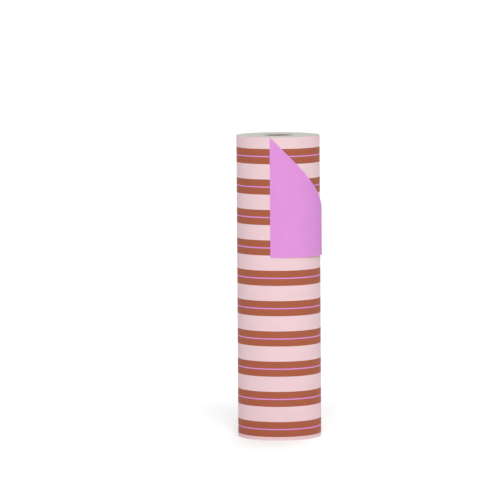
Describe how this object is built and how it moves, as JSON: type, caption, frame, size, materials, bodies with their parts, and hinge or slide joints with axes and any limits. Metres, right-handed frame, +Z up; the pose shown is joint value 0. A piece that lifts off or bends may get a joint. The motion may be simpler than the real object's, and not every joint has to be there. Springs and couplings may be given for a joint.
{
  "type": "wrapping paper roll",
  "caption": "Upright roll of striped gift wrapping paper wound on a paperboard core, with one corner of its free end folded over.",
  "frame": {"origin": "centre of the core's bore at the bottom face that the roll stands on", "axes": "+Z up along the core's axis; -Y towards the front, where the folded corner starts; +X towards the side that the folded corner goes round"},
  "size_m": [0.1381, 0.1377, 0.5],
  "materials": {
    "core_board": "matte",
    "tape": "satin",
    "wound_paper": "matte",
    "printed_paper": "satin",
    "paper_reverse": "matte"
  },
  "bodies": {
    "roll": {"core_inner_ply": "core_board", "core_middle_ply": "core_board", "core_outer_ply": "core_board", "start_tape": "tape", "wound_paper": "wound_paper"},
    "sheet_01": {"sheet_plate_01": "printed_paper"},
    "sheet_02": {"sheet_plate_02": "printed_paper", "corner_strip_01": "paper_reverse"},
    "sheet_03": {"sheet_plate_03": "printed_paper", "corner_strip_02": "paper_reverse"},
    "sheet_04": {"sheet_plate_04": "printed_paper", "corner_strip_03": "paper_reverse"},
    "sheet_05": {"sheet_plate_05": "printed_paper", "corner_strip_04": "paper_reverse"},
    "sheet_06": {"sheet_plate_06": "printed_paper", "corner_strip_05": "paper_reverse"},
    "sheet_07": {"sheet_plate_07": "printed_paper", "corner_strip_06": "paper_reverse"},
    "sheet_08": {"sheet_plate_08": "printed_paper", "corner_strip_07": "paper_reverse"},
    "sheet_09": {"sheet_plate_09": "printed_paper", "corner_strip_08": "paper_reverse"},
    "sheet_10": {"sheet_plate_10": "printed_paper", "corner_strip_09": "paper_reverse"},
    "sheet_11": {"sheet_plate_11": "printed_paper", "corner_strip_10": "paper_reverse"},
    "sheet_12": {"sheet_plate_12": "printed_paper", "corner_strip_11": "paper_reverse"}
  },
  "joints": [
    {"name": "unroll", "type": "hinge", "parent": "roll", "child": "sheet_01", "pos_m": [-0.03091, -0.06214, 0.25], "axis": [0, 0, -1], "range_deg": [0, 7.47], "stiffness_Nm_per_rad": 0.4},
    {"name": "uncurl_02", "type": "hinge", "parent": "sheet_01", "child": "sheet_02", "pos_m": [-0.01384, -0.06801, 0.25], "axis": [0, 0, -1], "range_deg": [0, 14.96]},
    {"name": "uncurl_03", "type": "hinge", "parent": "sheet_02", "child": "sheet_03", "pos_m": [0.00417, -0.06927, 0.25], "axis": [0, 0, -1], "range_deg": [0, 14.96]},
    {"name": "uncurl_04", "type": "hinge", "parent": "sheet_03", "child": "sheet_04", "pos_m": [0.0219, -0.06585, 0.25], "axis": [0, 0, -1], "range_deg": [0, 14.96]},
    {"name": "uncurl_05", "type": "hinge", "parent": "sheet_04", "child": "sheet_05", "pos_m": [0.03814, -0.05798, 0.25], "axis": [0, 0, -1], "range_deg": [0, 14.96]},
    {"name": "uncurl_06", "type": "hinge", "parent": "sheet_05", "child": "sheet_06", "pos_m": [0.05181, -0.04618, 0.25], "axis": [0, 0, -1], "range_deg": [0, 14.96]},
    {"name": "uncurl_07", "type": "hinge", "parent": "sheet_06", "child": "sheet_07", "pos_m": [0.06196, -0.03125, 0.25], "axis": [0, 0, -1], "range_deg": [0, 14.96]},
    {"name": "uncurl_08", "type": "hinge", "parent": "sheet_07", "child": "sheet_08", "pos_m": [0.06793, -0.01422, 0.25], "axis": [0, 0, -1], "range_deg": [0, 14.96]},
    {"name": "uncurl_09", "type": "hinge", "parent": "sheet_08", "child": "sheet_09", "pos_m": [0.0693, 0.00379, 0.25], "axis": [0, 0, -1], "range_deg": [0, 14.96]},
    {"name": "uncurl_10", "type": "hinge", "parent": "sheet_09", "child": "sheet_10", "pos_m": [0.06598, 0.02153, 0.25], "axis": [0, 0, -1], "range_deg": [0, 14.96]},
    {"name": "uncurl_11", "type": "hinge", "parent": "sheet_10", "child": "sheet_11", "pos_m": [0.05819, 0.03782, 0.25], "axis": [0, 0, -1], "range_deg": [0, 14.96]},
    {"name": "uncurl_12", "type": "hinge", "parent": "sheet_11", "child": "sheet_12", "pos_m": [0.04647, 0.05155, 0.25], "axis": [0, 0, -1], "range_deg": [0, 14.96]}
  ],
  "couplings": [
    {"joint": "uncurl_02", "follows": "unroll", "ratio": 2},
    {"joint": "uncurl_03", "follows": "unroll", "ratio": 2},
    {"joint": "uncurl_04", "follows": "unroll", "ratio": 2},
    {"joint": "uncurl_05", "follows": "unroll", "ratio": 2},
    {"joint": "uncurl_06", "follows": "unroll", "ratio": 2},
    {"joint": "uncurl_07", "follows": "unroll", "ratio": 2},
    {"joint": "uncurl_08", "follows": "unroll", "ratio": 2},
    {"joint": "uncurl_09", "follows": "unroll", "ratio": 2},
    {"joint": "uncurl_10", "follows": "unroll", "ratio": 2},
    {"joint": "uncurl_11", "follows": "unroll", "ratio": 2},
    {"joint": "uncurl_12", "follows": "unroll", "ratio": 2}
  ]
}
